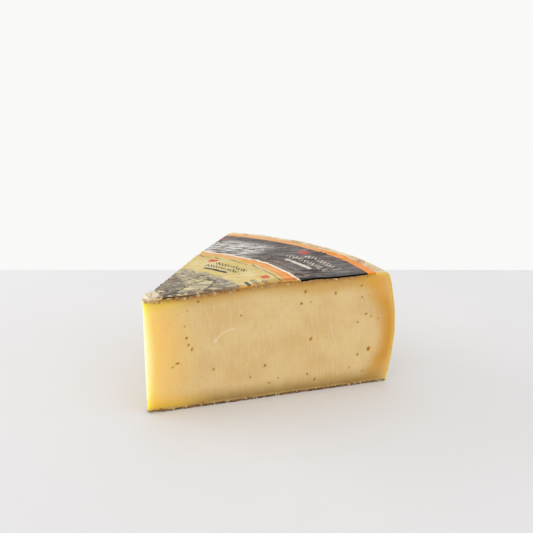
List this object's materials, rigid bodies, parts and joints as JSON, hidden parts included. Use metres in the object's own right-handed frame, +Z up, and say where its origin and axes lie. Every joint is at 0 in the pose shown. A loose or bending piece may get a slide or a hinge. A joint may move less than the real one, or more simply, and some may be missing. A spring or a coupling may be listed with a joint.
{
  "type": "cheese wedge",
  "caption": "Wedge cut from a round wheel of semi-hard cheese, with a natural rind and the cut share of its round paper label on top. Rests on its lower rind.",
  "frame": {"origin": "on the resting face, at the middle of the wedge's box in X and Y", "axes": "+Z up; +X from the wedge's point towards the rind, along the line that halves the wedge; the two cut faces look to -Y and +Y"},
  "size_m": [0.1606, 0.1496, 0.075],
  "materials": {
    "cheese": "satin",
    "label_paper": "matte"
  },
  "bodies": {
    "root": {"cheese": "cheese", "top_label": "label_paper"}
  },
  "joints": []
}
